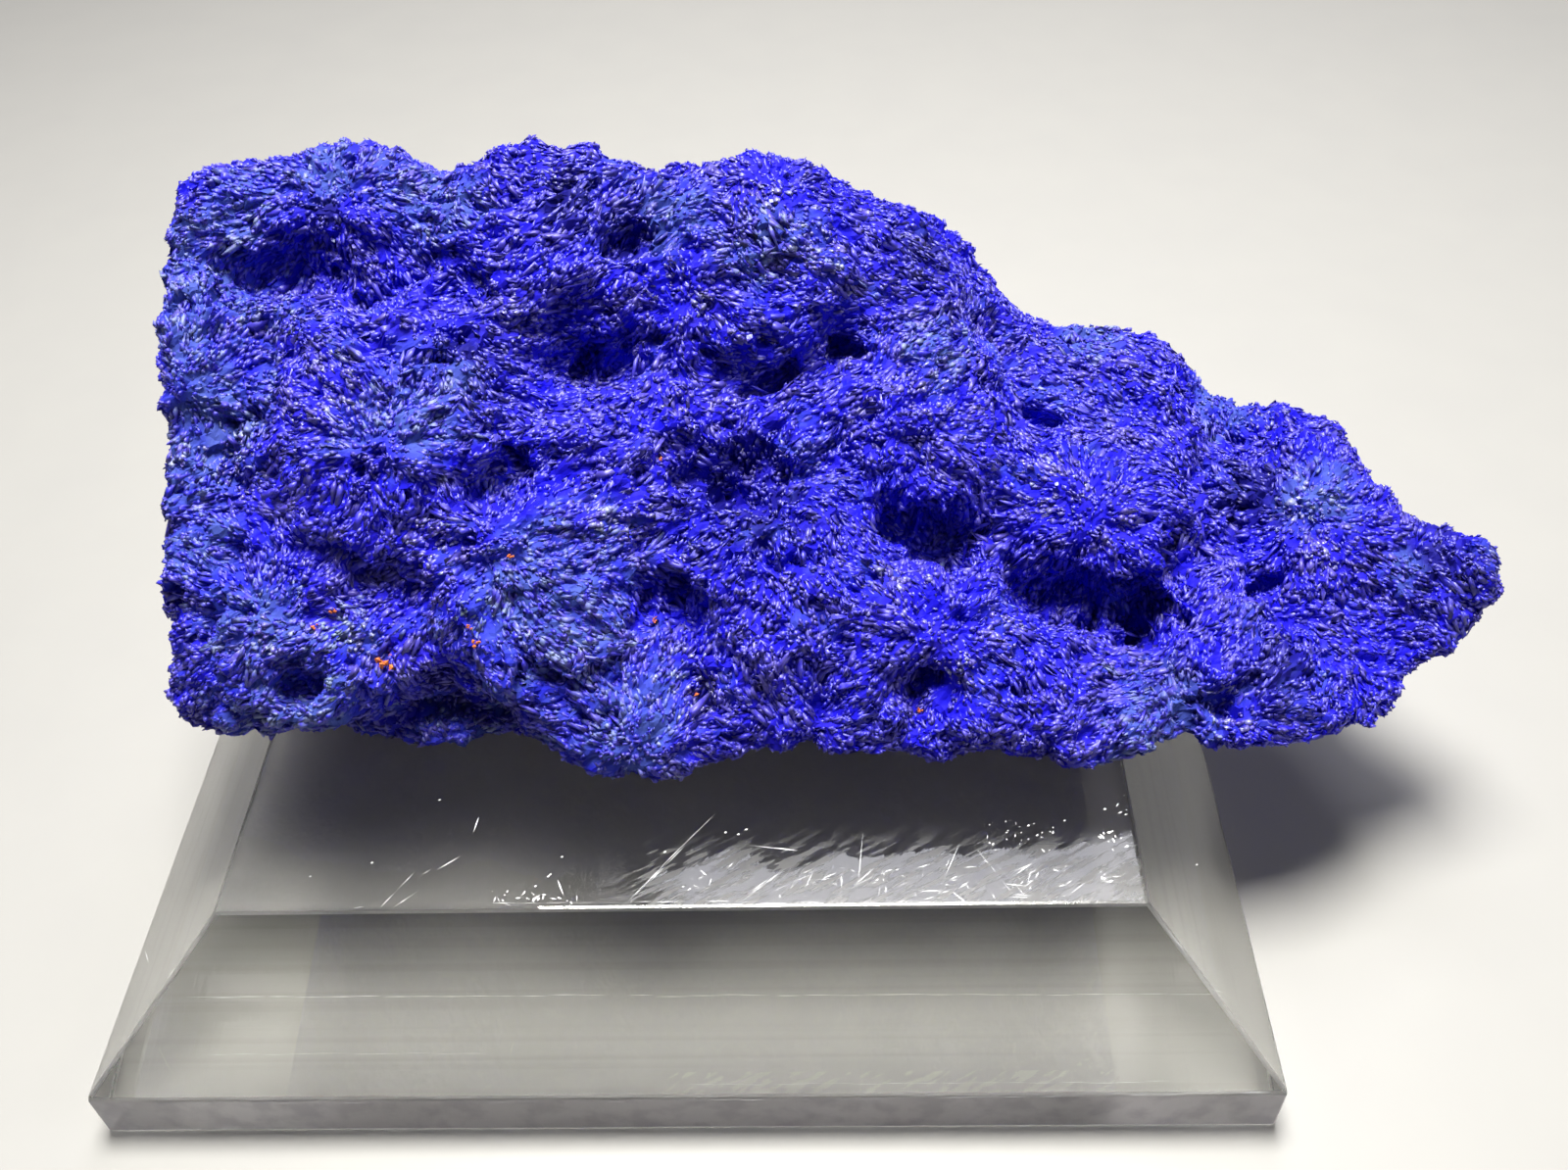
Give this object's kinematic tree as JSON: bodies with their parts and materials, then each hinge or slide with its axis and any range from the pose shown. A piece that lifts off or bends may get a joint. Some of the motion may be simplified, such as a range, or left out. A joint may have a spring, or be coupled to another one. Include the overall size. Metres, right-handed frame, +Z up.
{
  "type": "azurite specimen on an acrylic display base",
  "caption": "Chunky blue mineral specimen of radiating azurite crystals leaning back on a low bevelled clear acrylic block, for display on a shelf or table.",
  "frame": {"origin": "centre of the display base's underside, which stands on the table", "axes": "+Z up, +X to the right along the base's 90 mm width and towards the stone's pointed end, +Y towards the back, away from the crystal face"},
  "size_m": [0.1122, 0.08, 0.0527],
  "materials": {
    "azurite": "fine bladed azurite crystals, deep blue with paler weathered patches and glinting faces",
    "acrylic": "clear cast acrylic, machined and polished, lightly scratched on top"
  },
  "bodies": {
    "root": {"azurite": "azurite", "display_base": "acrylic"}
  },
  "joints": []
}
